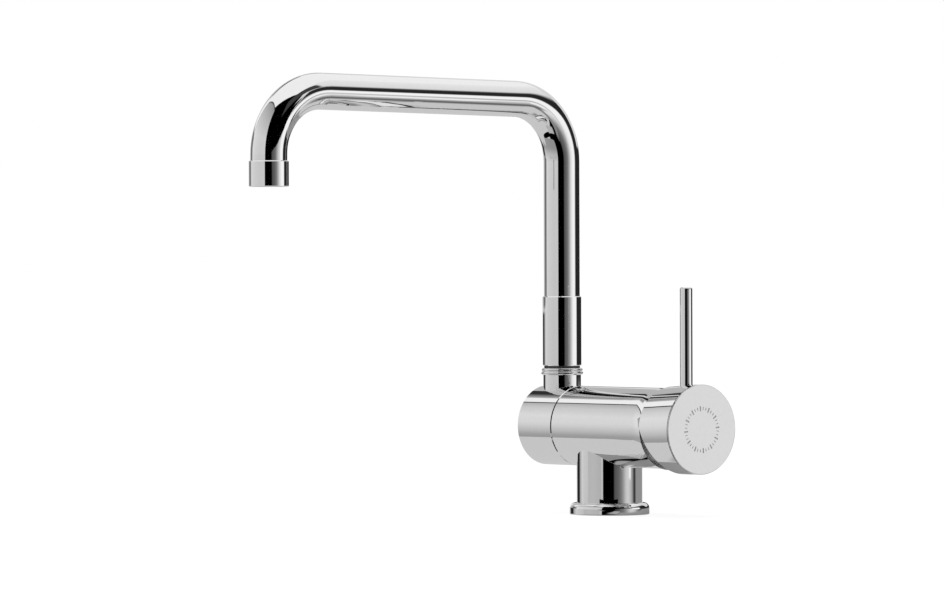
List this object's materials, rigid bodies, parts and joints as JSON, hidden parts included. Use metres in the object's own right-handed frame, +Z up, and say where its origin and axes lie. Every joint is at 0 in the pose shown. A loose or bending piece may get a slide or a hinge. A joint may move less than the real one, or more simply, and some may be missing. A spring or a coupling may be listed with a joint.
{
  "type": "kitchen mixer tap",
  "caption": "Kitchen mixer tap with a horizontal barrel, a bent swivel spout that folds forward on the barrel's hub, and an upright pin lever on the end cap.",
  "frame": {"origin": "centre of the column's foot, on the deck", "axes": "+Z up, +X along the barrel from the spout's hub to the lever's cap, the spout reaches towards -Y"},
  "size_m": [0.1431, 0.2666, 0.2675],
  "materials": {
    "chrome_casting": "polished",
    "chrome_hub": "polished",
    "chrome_flange": "polished",
    "chrome_ring": "polished",
    "chrome_sleeve": "polished",
    "chrome_tube": "polished",
    "chrome_shell": "polished",
    "chrome_cap": "polished",
    "chrome_plate": "polished",
    "chrome_lever": "polished",
    "chrome_dome": "polished",
    "turned_brass": "turned",
    "plain_steel": "plain",
    "steel_gauze": "woven",
    "seal_rubber": "matt",
    "dark_plastic": "matt",
    "white_plastic": "matt",
    "grey_plastic": "satin",
    "jet_plastic": "matt",
    "white_ceramic": "lapped"
  },
  "bodies": {
    "stand": {"base_flange": "chrome_flange", "base_gasket": "seal_rubber", "body_casting": "chrome_casting", "pivot_spindle": "turned_brass", "spindle_orings": "seal_rubber", "friction_washers": "white_plastic", "spindle_circlip": "plain_steel", "cartridge_base": "white_plastic", "cartridge_seals": "seal_rubber", "cartridge_housing": "grey_plastic", "fixed_ceramic_disc": "white_ceramic", "cartridge_nut": "turned_brass", "dome_ring": "chrome_dome"},
    "hub": {"spout_hub": "chrome_hub", "hub_end_cap": "chrome_hub", "neck_nipple": "turned_brass", "nipple_orings": "seal_rubber", "nipple_clip": "plain_steel", "swivel_ring": "chrome_ring"},
    "spout": {"glide_washer": "dark_plastic", "swivel_sleeve": "chrome_sleeve", "spout_tube": "chrome_tube", "outlet_ferrule": "turned_brass", "aerator_shell": "chrome_shell", "aerator_washer": "seal_rubber", "aerator_screen": "steel_gauze", "aerator_insert": "jet_plastic"},
    "rotor": {"cartridge_rotor": "white_plastic", "rotor_pin": "plain_steel"},
    "lever": {"lever_stem": "plain_steel", "handle_cap": "chrome_cap", "handle_disc": "chrome_plate", "lever_pin": "chrome_lever", "grub_screw": "plain_steel"},
    "moving_disc": {"moving_ceramic_disc": "white_ceramic", "disc_carrier": "white_plastic"}
  },
  "joints": [
    {"name": "spout_tilt", "type": "hinge", "parent": "stand", "child": "hub", "pos_m": [-0.0443, 0, 0.0534], "axis": [1, 0, 0], "range_deg": [0, 90]},
    {"name": "spout_swivel", "type": "hinge", "parent": "hub", "child": "spout", "pos_m": [-0.0443, 0, 0.1], "axis": [0, 0, 1], "continuous": true},
    {"name": "lever_temperature", "type": "hinge", "parent": "stand", "child": "rotor", "pos_m": [0.058, 0, 0.0534], "axis": [1, 0, 0], "range_deg": [-45, 45]},
    {"name": "lever_flow", "type": "hinge", "parent": "rotor", "child": "lever", "pos_m": [0.058, 0, 0.0534], "axis": [0, 1, 0], "range_deg": [0, 20]},
    {"name": "disc_slide", "type": "slide", "parent": "rotor", "child": "moving_disc", "axis": [0, 0, 1], "range_m": [0, 0.0038]}
  ],
  "couplings": [
    {"joint": "disc_slide", "follows": "lever_flow", "m_per_rad": 0.0107}
  ]
}
